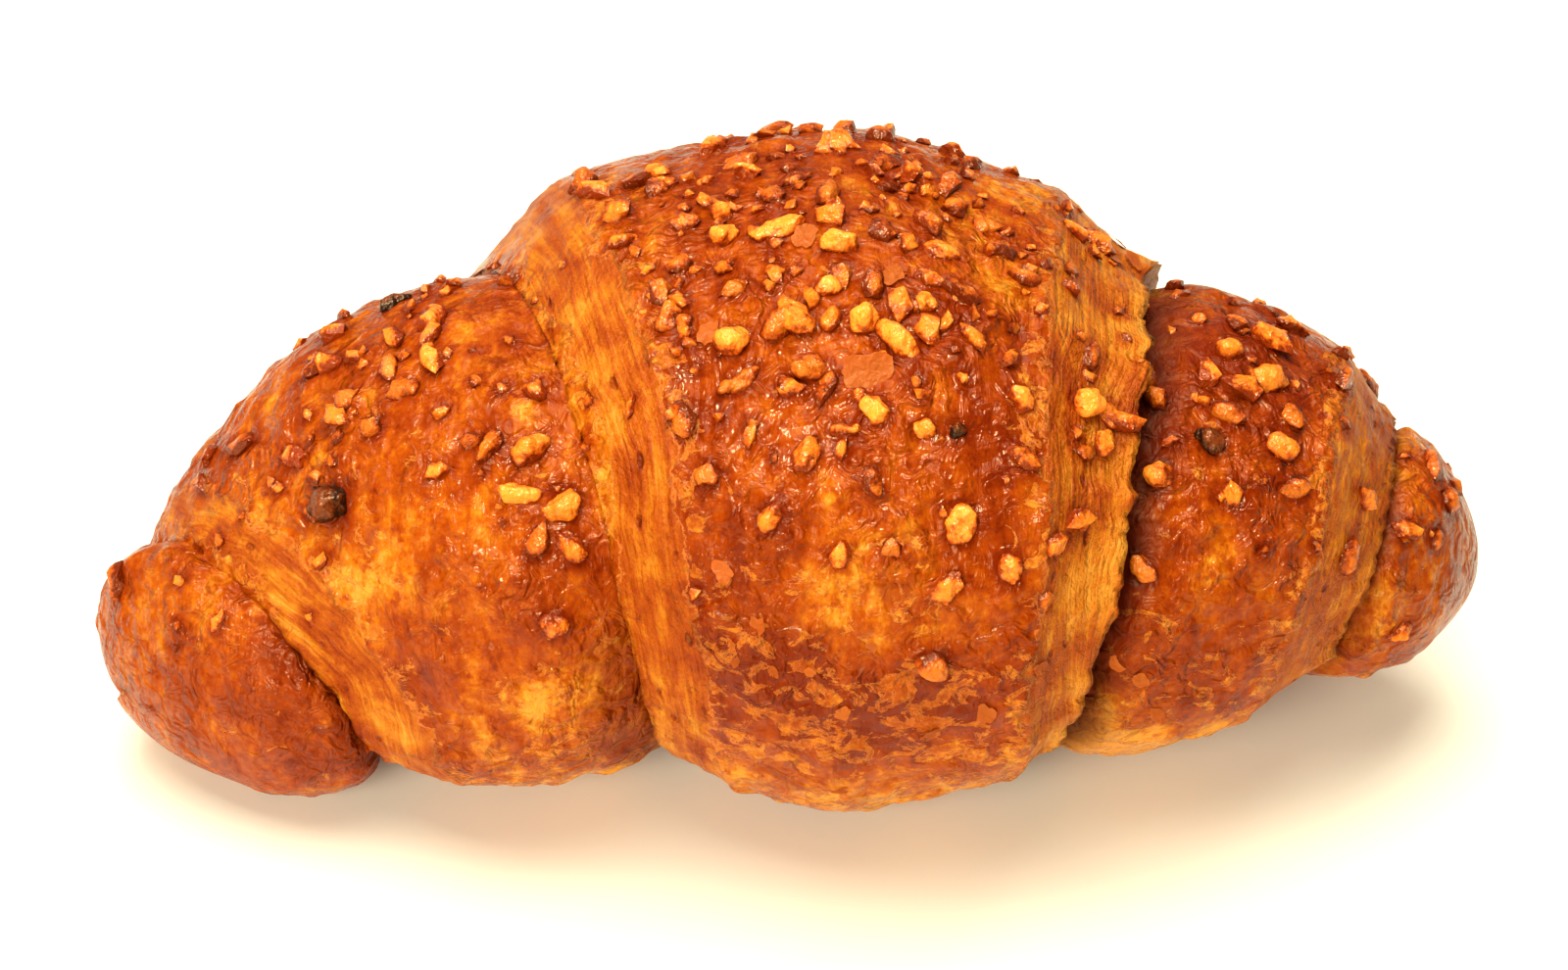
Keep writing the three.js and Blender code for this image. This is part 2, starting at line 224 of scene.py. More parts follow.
# the solid stands on the table with its origin under the middle of its box
coarse = np.concatenate([
    on_ribbon(side, (START + 7.5 * np.arange(145))[:, None],
              np.array([k / 7 for k in range(8)] + [1 + k / 3 for k in (1, 2, 3)])[None], False)
    .reshape(-1, 3) for side in SIDES])
dough_low, dough_high = (np.array(corner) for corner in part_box("croissant"))
SHIFT = (dough_low + dough_high) / 2 / MM - (coarse.min(0) + coarse.max(0)) / 2


def spot(side, around, across):
    """A place on the dough, in metres in the shared frame."""
    return (on_ribbon(side, around, across, False) + SHIFT) * MM


# ---- where the bake is darker, paler, or bare of nuts
# (side, around, across, reach in mm, how much): more than 0 is darker, less than 0 is paler
BAKE_SPOTS = [
    (LEFT, 118, 0.55, 9, 0.6), (LEFT, 100, 0.75, 8, 0.6), (LEFT, 85, 0.6, 9, 0.9),
    (LEFT, 90, 0.25, 6, 0.4), (RIGHT, 102, 0.1, 8, -0.6), (RIGHT, 112, 0.15, 6, -0.3),
    (RIGHT, 92, 0.6, 8, 0.9), (RIGHT, 82, 0.3, 9, 0.9), (RIGHT, 122, 0.8, 8, 0.4),
    (RIGHT, 140, 0.6, 8, 0.5), (LEFT, 158, 0.85, 7, 0.5), (LEFT, 140, 0.2, 8, 0.3),
    (RIGHT, 180, 0.7, 9, -0.7), (RIGHT, 158, 0.55, 8, 0.6), (LEFT, 198, 0.2, 14, 0.3),
    (LEFT, 500, 0.5, 10, -0.2), (LEFT, 470, 0.62, 7, 0.7), (LEFT, 450, 0.42, 8, -0.6),
    (LEFT, 462, 0.5, 6, -0.4), (LEFT, 458, 0.15, 8, 0.5), (LEFT, 435, 0.3, 8, 0.5),
    (LEFT, 500, 0.9, 8, -0.8), (LEFT, 530, 0.6, 12, 0.2), (LEFT, 520, 0.85, 5, 0.6),
    (RIGHT, 485, 0.06, 4, 0.8), (RIGHT, 465, 0.07, 4, 0.8), (RIGHT, 510, 0.06, 4, 0.7),
    (RIGHT, 500, 0.5, 12, 0.4), (RIGHT, 535, 0.5, 14, 0.7), (RIGHT, 440, 0.7, 8, 0.4),
    (RIGHT, 430, 0.2, 7, -0.2), (RIGHT, 470, 0.5, 9, 0.5),
    (RIGHT, 402, 0.35, 12, -1.5), (RIGHT, 398, 0.7, 9, -1.0), (RIGHT, 45, 0.5, 14, -0.5),
    (LEFT, 45, 0.5, 14, -0.5), (LEFT, 400, 0.5, 12, -0.7), (RIGHT, 560, 1.5, 10, -0.5),
    # the pale spot at (RIGHT, 800) is painted light, lifting the right horn's tip where little
    # light falls
    (RIGHT, 800, 0.3, 10, -0.2), (RIGHT, 215, 1.8, 6, -1.2), (LEFT, 790, 0.3, 14, 0.35),
    (LEFT, 830, 0.6, 10, 0.4), (LEFT, 700, 0.7, 10, -0.5),
]
# the same five for where the glaze's film has flaked off
PEELED_SPOTS = [
    (LEFT, 85, 0.3, 13, 1.0), (RIGHT, 85, 0.4, 13, 1.0), (LEFT, 100, 0.85, 8, 0.8),
    (RIGHT, 105, 0.1, 8, 0.9), (RIGHT, 75, 0.9, 9, 1.0), (LEFT, 75, 0.9, 9, 1.0),
    (LEFT, 440, 0.4, 12, 0.6), (RIGHT, 440, 0.5, 12, 0.7), (LEFT, 505, 0.85, 7, 0.7),
]
PEELED_ELSEWHERE = 0.12
# where the glaze lies thick and wet
WET_SPOTS = [
    (LEFT, 150, 0.35, 22, 1.0), (RIGHT, 150, 0.35, 22, 1.0), (LEFT, 120, 0.2, 16, 1.0),
    (RIGHT, 118, 0.2, 16, 1.0), (RIGHT, 490, 0.45, 15, 1.0), (LEFT, 500, 0.5, 15, 0.8),
]
WET_ELSEWHERE = 0.4
# where the small pieces of nut lie thickest
NUT_SPOTS = [
    (LEFT, 180, 0.3, 17, 1.0), (RIGHT, 180, 0.5, 15, 1.0), (LEFT, 155, 0.3, 14, 1.0),
    (RIGHT, 155, 0.4, 13, 1.0), (LEFT, 205, 0.1, 15, 0.6), (LEFT, 128, 0.3, 10, 0.35),
    (RIGHT, 125, 0.6, 10, 0.35), (LEFT, 545, 0.4, 13, 0.7), (LEFT, 530, 0.7, 11, 0.6),
    (LEFT, 505, 0.25, 9, 0.6), (RIGHT, 535, 0.4, 13, 0.8), (RIGHT, 515, 0.6, 10, 0.6),
    (RIGHT, 148, 1.6, 6, 0.8), (LEFT, 890, 0.4, 9, 0.4), (RIGHT, 880, 0.4, 9, 0.5),
]
# in metres: how far small pieces keep from the solid's own nuts, and the lowest that they lie
CLEAR_OF_NUTS = 0.0026
NUTS_LOWEST = 0.018
FLAKES_LOWEST = 0.006


def fading(points, side, around, across, reach):
    """1 at a place on the dough, fading to 0 over its reach in millimetres."""
    far = np.linalg.norm(points - spot(side, around, across), axis=-1) / (reach * MM)
    return np.exp(-far ** 2)


def strongest(points, spots, elsewhere):
    """The most that any one of the spots gives at points in metres."""
    most = np.full(points.shape[:-1], elsewhere)
    for side, around, across, reach, much in spots:
        most = np.maximum(most, much * fading(points, side, around, across, reach))
    return most


def bake_at(points):
    """How dark the bake is at points in metres, with some painted light: 0 pale gold, 1 the deepest
    red-brown.
    """
    dark = 0.46 + 0.22 * grain(points, 0.016, 1) + 0.20 * grain(points, 0.006, 2)
    dark = dark + 0.10 * grain(points, 0.0025, 4)
    for side, around, across, reach, much in BAKE_SPOTS:
        dark = dark + 0.42 * much * fading(points, side, around, across, reach)
    return dark


def peeled_at(points):
    """How much of the glaze's film has flaked off at points in metres, from 0 to 1."""
    return strongest(points, PEELED_SPOTS, PEELED_ELSEWHERE)


def wet_at(points):
    """How thick and shiny the glaze lies at points in metres, from 0 to 1."""
    wet = strongest(points, WET_SPOTS, WET_ELSEWHERE)
    return np.clip(wet + 0.35 * grain(points, 0.007, 41), 0, 1)


NUT_MIDDLES = [np.mean(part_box(name), axis=0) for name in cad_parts
               if name.startswith("nut_")]


def nuts_fall(points):
    """How thickly the small nut pieces lie at points in metres, from 0 to 1."""
    thick = strongest(points, NUT_SPOTS, 0.0)
    for middle in NUT_MIDDLES:
        away = np.linalg.norm(points - middle, axis=-1) / CLEAR_OF_NUTS
        thick = thick * (1 - np.exp(-away ** 4))
    return thick * (points[..., 2] > NUTS_LOWEST)


# ---- the dough's mesh
def make_dough():
    columns = column_places()
    around = (START + 360 * np.arange(ROWS + 1) / TURN_STEPS)[:, None]
    numbers, places, notes = [], [], []
    middle = np.arange(TURN_STEPS)
    count = TURN_STEPS
    for side in SIDES:
        ids = np.zeros((ROWS + 1, COLUMNS + 1), int)
        for row in range(ROWS + 1):
            ids[row] = count + np.arange(COLUMNS + 1)
            count += COLUMNS + 1
        ids[:TURN_STEPS, 0] = middle
        ids[0] = 0
        tip = count
        count += 1
        ids[2 * TURN_STEPS:, COLUMNS] = tip
        for row in range(TURN_STEPS, ROWS + 1):
            ids[row, 0] = ids[row - TURN_STEPS, COLUMNS]
        # known fault: where the rows crowd together at the tip, some faces come out with no area
        ids[ROWS] = tip
        numbers.append(ids)
        places.append((on_ribbon(side, around, columns[None]) + SHIFT) * MM)
        along_cut = np.linalg.norm(np.diff(places[-1], axis=1), axis=-1)
        reach = np.concatenate([np.zeros((ROWS + 1, 1)), np.cumsum(along_cut, axis=1)], 1)
        notes.append(reach - reach[:, SKIN_COLUMNS:SKIN_COLUMNS + 1])
    used, index = np.unique(np.concatenate([n.ravel() for n in numbers]), return_inverse=True)
    verts = np.zeros((len(used), 3))
    verts[index] = np.concatenate([p.reshape(-1, 3) for p in places])
    index = index.reshape(2, ROWS + 1, COLUMNS + 1)

    faces, corners = [], []
    for s, side in enumerate(SIDES):
        for row in range(ROWS):
            for k in range(COLUMNS):
                grid = [(row, k), (row, k + 1), (row + 1, k + 1), (row + 1, k)]
                if side["sign"] < 0:
                    grid.reverse()
                ring, where = [], []
                for r, c in grid:
                    v = int(index[s, r, c])
                    if v not in ring:
                        ring.append(v)
                        where.append((s, r, c))
                if len(ring) > 2:
                    faces.append(ring)
                    corners.extend(where)
    mesh = bpy.data.meshes.new("dough")
    mesh.from_pydata(verts.tolist(), [], faces)
    mesh.update()
    corners = np.array(corners)
    turn_of = np.broadcast_to(around, (ROWS + 1, COLUMNS + 1))
    column_of = np.broadcast_to(columns[None], (ROWS + 1, COLUMNS + 1))

    # heights that follow the ribbon: ridges on the cut side and a curled rim where the skin ends
    flat = np.zeros(len(used) * 3)
    mesh.vertex_normals.foreach_get("vector", flat)
    normals = flat.reshape(-1, 3)
    lift = np.zeros(len(used))
    cut_amount = np.zeros((2, ROWS + 1, COLUMNS + 1))
    lay = np.zeros((2, ROWS + 1, COLUMNS + 1, 3))
    for s, side in enumerate(SIDES):
        mm_across = notes[s] / MM
        mm_around = np.radians(turn_of) * RIBBON_RADIUS
        c = np.clip(column_of - 1, 0, 1)
        g = np.clip(column_of - 2, 0, 1)
        wander = np.stack([mm_around, mm_across * 0.4, 0 * mm_across + 40 * s], -1)
        sway = grain(wander, 14.0, 7) * 1.6 + grain(wander, 5.0, 8) * 0.5
        ridge = (mm_across + sway) / 1.9
        step = np.abs((ridge % 1) - 0.35) / 0.65
        there = smooth(0.0, 0.10, c) * (1 - g) * smooth(START, 10, turn_of)
        there = there * (1 - smooth(START + 610, START + 700, turn_of))
        rough = grain(np.stack([mm_around * 0.5, mm_across, 0 * c + 9 * s], -1), 1.5, 9)
        bold = 0.5 + 0.5 * smooth(0.2, 1.0, through(side["lip"], turn_of))
        high = there * (0.12 * bold * (0.5 - step) + 0.34 * rough)
        wobble = grain(np.stack([mm_around, 0 * c, 0 * c + 5 * s], -1), 2.6, 11)
        rim = np.exp(-((mm_across + 0.5 + 0.5 * wobble) / 0.8) ** 2)
        high = high + 0.22 * rim * (0.6 + wobble) * smooth(START, 10, turn_of) * (turn_of < 620)
        lift[index[s].ravel()] = high.ravel()
        edge_wander = 2.2 * grain(np.stack([mm_around, 0 * c, 0 * c + 3 * s], -1), 7.0, 12)
        on_the_ribbon = np.stack([mm_around, mm_across, 0 * c], -1)
        edge_wander = edge_wander + 1.3 * grain(on_the_ribbon, 1.5, 13)
        past_edge = np.clip(mm_across + edge_wander, -4, 4)
        # with no groove behind it the cut side runs on into the next turn's glaze
        shut = 1 - smooth(0.1, 0.8, through(side["dip"], turn_of))
        past_edge = past_edge - 7 * shut * smooth(0.45, 1.0, c + 0.12 * edge_wander)
        past_edge = past_edge - 8 * smooth(START + 600, START + 680, turn_of)
        cut_amount[s] = np.clip(past_edge - 8 * (1 - smooth(START, -20, turn_of)), -4, 4)
        lay[s] = np.stack([mm_around * MM, (mm_across + sway) * MM, c + g], -1)
    # lumps, wrap wrinkles and blisters that don't care for the ribbon's seams
    lumps = 0.75 * grain(verts, 0.021, 21) + 0.42 * grain(verts, 0.0095, 22)
    squeezed = verts * np.array([1.0, 0.34, 0.34])
    wrinkles = 0.16 * (0.5 - np.abs(grain(squeezed, 0.0024, 23)) * 2)
    wrinkles = wrinkles + 0.16 * (0.5 - np.abs(grain(verts, 0.0026, 28)) * 2)
    blisters = np.maximum(grain(verts, 0.0034, 24) - 0.18, 0)
    pits = -np.maximum(grain(verts, 0.0042, 25) - 0.3, 0) * 0.6
    low = smooth(0.0005, 0.006, verts[:, 2])
    on_skin = smooth(0, 0.08, column_of) * (1 - smooth(0.92, 1.1, column_of))
    skin_part = np.zeros(len(used))
    for s in (0, 1):
        skin_part[index[s].ravel()] = on_skin.ravel()
    height = lumps + skin_part * (wrinkles + blisters + pits) + lift
    moved = verts + normals * (height * low * MM)[:, None]
    moved[:, 2] = np.maximum(moved[:, 2], 0)
    mesh.vertices.foreach_set("co", moved.ravel())

    def corner_note(name, kind, values):
        picked = values[corners[:, 0], corners[:, 1], corners[:, 2]]
        layer = mesh.attributes.new(name, kind, "CORNER")
        layer.data.foreach_set("vector" if kind == "FLOAT_VECTOR" else "value", picked.ravel())

    grid_places = np.stack(places)
    by_the_edge = 0.9 * np.exp(-((cut_amount + 1.2) / 2.0) ** 2)
    corner_note("peeled", "FLOAT", np.maximum(peeled_at(grid_places), by_the_edge))
    corner_note("wet", "FLOAT", wet_at(grid_places))
    corner_note("lay", "FLOAT_VECTOR", lay)
    corner_note("past_edge", "FLOAT", cut_amount)
    over_cut = np.clip(column_of - 1, 0, 1) * (turn_of < START + 360)
    paler = np.stack([side["pale_lip"] * over_cut for side in SIDES])
    corner_note("bake", "FLOAT", bake_at(grid_places) - paler)
    # where the grooves are: the finish paints shade there and makes them dull
    grooves = np.stack([smooth(1.85, 2.4, column_of) * (1 - smooth(560, 640, turn_of))
                        + 0 * column_of for _ in SIDES])
    # the groove's painted shade fades out around the torn corner at the top
    torn_corner = smooth(165, 185, turn_of) * (1 - smooth(240, 270, turn_of))
    for s, side in enumerate(SIDES):
        # painted shade: where the next turn's skin starts at the bottom of a groove it is darkened,
        # the more the deeper the groove beside it
        depth = side["shade"] * np.clip(through(side["dip"], turn_of - 360) / 2.5, 0, 1)
        frayed = 0.07 * grain(np.stack([turn_of * 0.5, 0 * column_of, 0 * column_of], -1), 5.0, 15)
        groove_floor_shade = (1 - smooth(0.12, 0.36, column_of + frayed)) * (turn_of > START + 372) * depth
        shut = np.clip(through(side["dip"], turn_of) / 2, 0, 1) * (1 - torn_corner)
        grooves[s] = np.maximum(grooves[s] * shut, groove_floor_shade)
    corner_note("groove", "FLOAT", grooves)
    density = mesh.attributes.new("nuts_fall", "FLOAT", "POINT")
    facing_up = smooth(-0.1, 0.4, normals[:, 2] * 0.8 - normals[:, 1] * 0.6)
    density.data.foreach_set("value", nuts_fall(moved) * facing_up)
    flaky = np.where(peeled_at(moved) > 0.13, peeled_at(moved), 0.02)
    flakes = mesh.attributes.new("flakes_fall", "FLOAT", "POINT")
    flakes.data.foreach_set("value", 0.5 * flaky * (moved[:, 2] > FLAKES_LOWEST))
    mesh.polygons.foreach_set("use_smooth", np.ones(len(mesh.polygons), bool))
    mesh.update()
    dough = bpy.data.objects.new("dough", mesh)
    bpy.context.scene.collection.objects.link(dough)
    return dough


# ---- shader maths
class Value:
    """A shader socket that works in Python sums."""

    def __init__(self, finish, socket):
        self.finish, self.socket = finish, socket

    def _sum(self, operation, other):
        return self.finish.node("ShaderNodeMath", {"operation": operation},
                                **{"0": self, "1": other})

    def __add__(self, other):
        return self._sum("ADD", other)

    def __sub__(self, other):
        return self._sum("SUBTRACT", other)

    def __rsub__(self, other):
        return self.finish.node("ShaderNodeMath", {"operation": "SUBTRACT"},
                                **{"0": other, "1": self})

    def __mul__(self, other):
        return self._sum("MULTIPLY", other)

    __radd__ = __add__
    __rmul__ = __mul__

    def over(self, low, high):
        """0 below low, 1 above high, smooth between."""
        return self.finish.node("ShaderNodeMapRange", {"interpolation_type": "SMOOTHSTEP"},
                                Value=self, **{"From Min": low, "From Max": high})


class Finish:
    """A material whose nodes are written as expressions."""

    def __init__(self, name):
        self.material = bpy.data.materials.new(name)
        self.material.use_nodes = True
        self.tree = self.material.node_tree
        self.tree.nodes.clear()

    def node(self, kind, settings=None, output=0, **values):
        """Any node: its type, its settings, which output is wanted, and its sockets' values."""
        made = self.tree.nodes.new(kind)
        for key, value in (settings or {}).items():
            setattr(made, key, value)
        for key, value in values.items():
            socket = made.inputs[int(key)] if key.isdigit() else made.inputs[key]
            if isinstance(value, Value):
                self.tree.links.new(value.socket, socket)
            else:
                socket.default_value = value
        return Value(self, made.outputs[output])

    def note(self, name, output=2):
        """A number or vector kept on the mesh: output 2 is a number, 1 a vector."""
        return self.node("ShaderNodeAttribute", {"attribute_name": name}, output)

    def place(self):
        return self.node("ShaderNodeTexCoord", None, 3)

    def stretched(self, vector, x, y, z):
        return self.node("ShaderNodeVectorMath", {"operation": "MULTIPLY"},
                         **{"0": vector, "1": (x, y, z)})

    def clouds(self, vector, size, detail=3.0, roughness=0.5, distortion=0.0):
        """Noise from 0 to 1 with lumps of a size in metres."""
        return self.node("ShaderNodeTexNoise", None, 0, Vector=vector, Scale=1 / size,
                         Detail=detail, Roughness=roughness, Distortion=distortion)

    def cells(self, vector, size, feature="F1"):
        """How far the nearest cell's middle is, where 1 is the size in metres."""
        return self.node("ShaderNodeTexVoronoi", {"feature": feature}, 0, Vector=vector,
                         Scale=1 / size)

    def blend(self, a, b, amount):
        return self.node("ShaderNodeMix", {"data_type": "RGBA"}, 2,
                         **{"0": amount, "6": colour(a), "7": colour(b)})

    def ramp(self, amount, *stops):
        made = self.tree.nodes.new("ShaderNodeValToRGB")
        ramp = made.color_ramp
        while len(ramp.elements) < len(stops):
            ramp.elements.new(0.5)
        for element, (where, shade) in zip(ramp.elements, stops):
            element.position = where
            element.color = colour(shade)
        self.tree.links.new(amount.socket, made.inputs[0])
        return Value(self, made.outputs[0])

    def finish(self, colours, rough, bump=None, waxy=0.0, specular=0.5, tint=(1.0, 1.0, 1.0)):
        shader = self.node("ShaderNodeBsdfPrincipled", None, 0, **{
            "Base Color": colours, "Roughness": rough, "Specular IOR Level": specular,
            "Specular Tint": (*tint, 1.0)})
        made = shader.socket.node
        if waxy:
            made.inputs["Subsurface Weight"].default_value = waxy
            made.inputs["Subsurface Radius"].default_value = (1.0, 0.35, 0.1)
            made.inputs["Subsurface Scale"].default_value = 0.002
        if bump is not None:
            self.tree.links.new(bump.socket, made.inputs["Normal"])
        out = self.tree.nodes.new("ShaderNodeOutputMaterial")
        self.tree.links.new(shader.socket, out.inputs["Surface"])
        return self.material

    def bumped(self, height, depth):
        return self.node("ShaderNodeBump", None, 0, Height=height, Strength=1.0, Distance=depth)


def colour(c):
    return c if isinstance(c, Value) else (*c, 1.0) if len(c) == 3 else c


# ---- colours of the bake, as linear light
# the first is no bake colour but painted shade, for the bottom of the grooves
GROOVE_SHADE_RED = (0.070, 0.004, 0.0003)
RED_BROWN = (0.152, 0.0118, 0.0004)
AMBER = (0.262, 0.031, 0.0008)
ORANGE = (0.36, 0.062, 0.0016)
GOLD = (0.49, 0.132, 0.0050)
STRAW = (0.64, 0.24, 0.022)
PEELING = (0.92, 0.26, 0.045)
WARM_GLINT = (1.0, 0.72, 0.40)


def baked_dough():
    f = Finish("baked_dough")
    here = f.place()
    lay = f.note("lay", 1)
    past_edge = f.note("past_edge")
    groove = f.note("groove")
    bake = f.note("bake")
    peeled = f.note("peeled")
    wet = f.note("wet")
    caramel_and_shade = f.note("caramel_and_shade")
    torn = f.clouds(here, 0.0021, 6.0, 0.72)
    cut = (past_edge + (torn - 0.5) * 5.5).over(-0.4, 0.4)
    # the glazed skin: mottled from gold to deep red
    runs = f.clouds(f.stretched(here, 1.0, 0.28, 0.28), 0.0030, 5.0, 0.62, 0.5)
    mottle = f.clouds(here, 0.0042, 7.0, 0.70, 0.5) * 0.5 + runs * 0.5
    fine = f.clouds(here, 0.0010, 4.0, 0.70)
    speckle = f.clouds(here, 0.0023, 3.0, 0.6).over(0.58, 0.66)
    # caramel darkens the glaze round each nut: partly glaze pooled there, partly painted shade
    dark = bake + (mottle - 0.5) * 2.2 + (fine - 0.5) * 0.9 + caramel_and_shade * 0.4 + speckle * 0.22
    skin = f.ramp(dark, (0.0, STRAW), (0.18, GOLD), (0.38, ORANGE), (0.62, AMBER), (1.0, RED_BROWN))
    # where the film has flaked off there is paler, drier crust with a crisp ragged border
    scales = f.clouds(f.stretched(here, 1.0, 1.0, 1.3), 0.0034, 9.0, 0.70, 0.7)
    scales = scales + (peeled - 1) * 0.17
    bare = scales.over(0.495, 0.505)
    rim = scales.over(0.488, 0.497) * (1 - scales.over(0.506, 0.523))
    crust = f.ramp(dark * 0.45 + fine * 1.2 - 0.39, (0.20, STRAW), (0.42, GOLD), (0.66, ORANGE),
                   (1.0, AMBER))
    skin = f.blend(skin, crust, bare * 0.85)
    skin = f.blend(skin, PEELING, rim * 0.72)
    # the cut side: baked layers, seen as fine lines that run with the ribbon
    broad = f.clouds(f.stretched(lay, 0.14, 1.0, 0.0), 0.0019, 4.0, 0.65, 0.15)
    thin = f.clouds(f.stretched(lay, 0.06, 1.0, 0.0), 0.00055, 3.0, 0.6)
    patches = f.clouds(here, 0.0055, 5.0, 0.65, 0.4)
    tone = bake * 0.40 + (broad - 0.5) * 1.2 + (thin - 0.5) * 0.7 + (patches - 0.5) * 1.5 + 0.27
    pores = f.cells(f.stretched(lay, 0.5, 1.0, 0.0), 0.0021)
    pore = (1 - pores.over(0.10, 0.26)) * patches.over(0.45, 0.6)
    # here too caramel darkens round the nuts: pooled glaze and painted shade
    layered = f.ramp(tone + pore * 0.3 + caramel_and_shade * 0.3, (0.0, STRAW), (0.28, GOLD), (0.52, ORANGE),
                     (0.78, AMBER), (1.0, RED_BROWN))
    both = f.blend(skin, layered, cut)
    both = f.blend(both, PEELING, cut * (1 - cut) * 1.7)
    # painted shade: the grooves are darkened towards deep red
    both = f.blend(both, GROOVE_SHADE_RED, groove * 0.9)
    crinkle = f.clouds(here, 0.0025, 2.0, 0.5, 1.2)
    ripple = f.clouds(f.stretched(here, 1.0, 0.6, 0.6), 0.0012, 1.0, 0.5, 0.5)
    grit = f.clouds(here, 0.0008, 3.0, 0.6)
    bubbles = f.cells(here, 0.0019, "SMOOTH_F1")
    puckered = f.clouds(here, 0.010, 2.0, 0.5).over(0.38, 0.62) * 0.6 + 0.4
    skin_height = (crinkle * 1.6 + ripple * 0.4) * puckered + runs * 0.5 + (1 - bubbles) * 0.25
    skin_height = skin_height + bare * (grit * 0.3 + 0.2)
    cut_height = broad * 0.6 + thin * 0.3 - pore * 0.5 + crinkle * 0.6 + grit * 0.5 + bare * 0.25
    height = skin_height * (1 - cut) + cut_height * cut
    # thick glaze is the smoothest, and the groove and the cut side are dull
    rough = 0.30 - wet * 0.18 + cut * 0.2 + bare * 0.18 + groove * 0.5 + (mottle - 0.5) * 0.12
    return f.finish(both, rough, f.bumped(height, 0.00105), waxy=0.02, specular=0.13,
                    tint=WARM_GLINT)


def roasted_nut(name, light, dark, burn):
    f = Finish(name)
    here = f.place()
    tone = f.note("tone")
    stand = f.note("stand")
    patch = f.clouds(here, 0.0021, 5.0, 0.65)
    speck = f.clouds(here, 0.0006, 3.0, 0.6)
    # (1 - stand) darkens each nut's lower sides: painted shade, partly caramel pooled at the base
    amount = (patch - 0.5) * 3.0 + (speck - 0.5) * 1.2 + tone * 0.4 + (1 - stand) * 1.3 + 0.10
    between = tuple(mix(a, b, 0.35) for a, b in zip(light, dark))
    colours = f.ramp(amount, (0.0, light), (0.40, between), (0.75, dark), (1.0, burn))
    height = f.clouds(here, 0.0012, 3.0, 0.55)
    return f.finish(colours, 0.20, f.bumped(height, 0.0008), waxy=0.08, specular=0.30,
                    tint=WARM_GLINT)


def glaze_flake():
    f = Finish("glaze_flake")
    here = f.place()
    tone = f.note("tone")
    film = f.clouds(here, 0.0012, 3.0, 0.6)
    colours = f.ramp(film * 0.6 + tone * 0.5, (0.1, (0.78, 0.21, 0.030)),
                     (0.6, (0.60, 0.12, 0.012)), (1.0, (0.42, 0.07, 0.004)))
    return f.finish(colours, 0.4, f.bumped(f.clouds(here, 0.0011, 3.0), 0.0004), specular=0.2,
                    tint=(1.0, 0.7, 0.4))


# ---- the nuts
# how deep the solid's nuts are pressed into the glaze, in metres
NUT_SUNK = 0.0008


def sunk_nut(source, surface, seed, sink):
    """The solid's chip with broken edges, pressed into the glaze, and how far each point stands."""
    chip = bmesh.new()
    chip.from_mesh(source.data)
    bmesh.ops.remove_doubles(chip, verts=chip.verts, dist=2e-6)
    bmesh.ops.recalc_face_normals(chip, faces=chip.faces)
    middle = sum((v.co for v in chip.verts), Vector()) / len(chip.verts)
    near, normal, _, _ = surface.find_nearest(middle)
    for v in chip.verts:
        v.co = middle + (v.co - middle) * 1.06
    lowest = min((v.co - near).dot(normal) for v in chip.verts)
    for v in chip.verts:
        v.co -= normal * (lowest + sink)
    bmesh.ops.bevel(chip, geom=chip.edges[:] + chip.verts[:], offset=0.00012, segments=1,
                    affect="EDGES", clamp_overlap=True, profile=0.5)
    bmesh.ops.triangulate(chip, faces=chip.faces)
    for longest in (0.0009, 0.0005):
        bmesh.ops.subdivide_edges(chip, edges=[e for e in chip.edges if e.calc_length() > longest],
                                  cuts=1, use_grid_fill=True)
        bmesh.ops.triangulate(chip, faces=chip.faces)
    chip.normal_update()
    shift = Vector((seed * 3.1, seed * 1.7, seed * 2.3))
    for v in chip.verts:
        bite = noise.noise(v.co / 0.0026 + shift) * 0.00065
        chipped = (abs(noise.noise(v.co / 0.0012 - shift)) - 0.2) * 0.00050
        v.co += v.normal * (bite + chipped + noise.noise(v.co / 0.0005 + shift) * 0.00006)
    bmesh.ops.smooth_vert(chip, verts=chip.verts, factor=0.25, use_axis_x=True, use_axis_y=True,
                          use_axis_z=True)
    chip.normal_update()
    top = max((v.co - near).dot(normal) for v in chip.verts)
    # stand runs from a nut's top (1) down its sides (0); it drives painted shade, partly caramel
    # pooled at the base
    stand = [0.55 * (v.co - near).dot(normal) / top + 0.5 * v.normal.dot(normal)
             for v in chip.verts]
    return chip, [min(max(part, 0), 1) for part in stand]


def make_nuts(name, nodes, surface, finish):
    whole = bmesh.new()
    tones, stands = [], []
    for node in nodes:
        seed = int(node.split("_")[-1])
        chip, stand = sunk_nut(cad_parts[node], surface, seed, NUT_SUNK)
        stands += stand
        piece = bpy.data.meshes.new("chip")
        chip.to_mesh(piece)
        chip.free()
        tones += [noise.cell(Vector((seed * 1.37, seed * 0.71, 2.2)))] * len(piece.vertices)
        whole.from_mesh(piece)
        bpy.data.meshes.remove(piece)
    mesh = bpy.data.meshes.new(name)
    whole.to_mesh(mesh)
    whole.free()
    mesh.attributes.new("tone", "FLOAT", "POINT").data.foreach_set("value", tones)
    mesh.attributes.new("stand", "FLOAT", "POINT").data.foreach_set("value", stands)
    mesh.polygons.foreach_set("use_smooth", np.ones(len(mesh.polygons), bool))
    mesh.materials.append(finish)
    obj = bpy.data.objects.new(name, mesh)
    bpy.context.scene.collection.objects.link(obj)
    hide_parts(*nodes)
    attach(obj, "root")
    return obj


